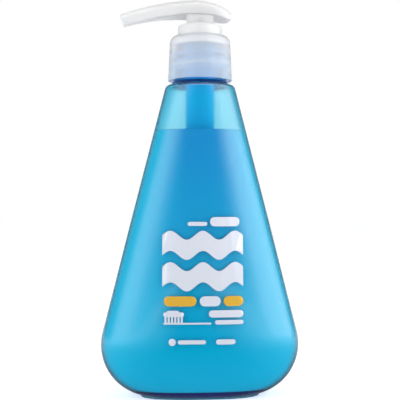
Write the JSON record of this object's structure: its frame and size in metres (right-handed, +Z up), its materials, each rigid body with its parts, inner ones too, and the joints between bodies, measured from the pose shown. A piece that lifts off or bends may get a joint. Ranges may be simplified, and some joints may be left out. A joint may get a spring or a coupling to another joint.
{
  "type": "toothpaste pump bottle",
  "caption": "Flattened teardrop bottle of blue gel toothpaste with a screw closure and a lock-down pump whose spout droops to one side.",
  "frame": {"origin": "centre of the bottle's foot, on the table", "axes": "+Z up along the neck's axis, -Y out of the printed front, +X away from the spout, which points to -X"},
  "size_m": [0.0866, 0.0383, 0.1727],
  "materials": {
    "blue_plastic": "glossy translucent blue",
    "gel": "wet gel",
    "milky_plastic": "satin natural plastic, milky",
    "foam": "soft closed-cell foam",
    "steel": "bright drawn steel",
    "ink_white": "silver-white screen ink",
    "ink_amber": "amber screen ink"
  },
  "bodies": {
    "bottle": {"bottle": "blue_plastic", "toothpaste_gel": "gel", "print_top_line": "ink_white", "print_top_drop": "ink_white", "print_wave_upper": "ink_white", "print_wave_lower": "ink_white", "print_amber_left": "ink_amber", "print_line_middle": "ink_white", "print_amber_right": "ink_amber", "print_side_line_upper": "ink_white", "print_side_line_lower": "ink_white", "print_brush": "ink_white", "print_dot": "ink_white", "print_base_line_left": "ink_white", "print_base_line_right": "ink_white"},
    "pump": {"pump_housing": "milky_plastic", "lock_collar": "milky_plastic", "neck_gasket": "foam", "dip_tube": "milky_plastic", "return_spring": "steel"},
    "closure": {"closure_ring": "milky_plastic"},
    "plunger": {"piston_rod": "milky_plastic"},
    "head": {"pump_head": "milky_plastic", "stem": "milky_plastic"},
    "piston": {"piston_seal": "milky_plastic"},
    "valve_ball": {"inlet_ball": "steel"}
  },
  "joints": [
    {"name": "pump_rise", "type": "slide", "parent": "bottle", "child": "pump", "axis": [0, 0, 1], "range_m": [0, 0.00635]},
    {"name": "closure_turn", "type": "hinge", "parent": "pump", "child": "closure", "pos_m": [0, 0, 0.146], "axis": [0, 0, 1], "range_deg": [0, 720]},
    {"name": "head_lift", "type": "slide", "parent": "pump", "child": "plunger", "axis": [0, 0, 1], "range_m": [0, 0.0135], "deforming": ["return_spring"]},
    {"name": "head_swivel", "type": "hinge", "parent": "plunger", "child": "head", "pos_m": [0, 0, 0.165], "axis": [0, 0, 1], "continuous": true},
    {"name": "piston_slip", "type": "slide", "parent": "plunger", "child": "piston", "axis": [0, 0, 1], "range_m": [0, 0.0012]},
    {"name": "ball_lift", "type": "slide", "parent": "pump", "child": "valve_ball", "axis": [0, 0, 1], "range_m": [0, 0.0014]}
  ],
  "couplings": [
    {"joint": "closure_turn", "follows": "pump_rise", "rad_per_m": 1979}
  ]
}
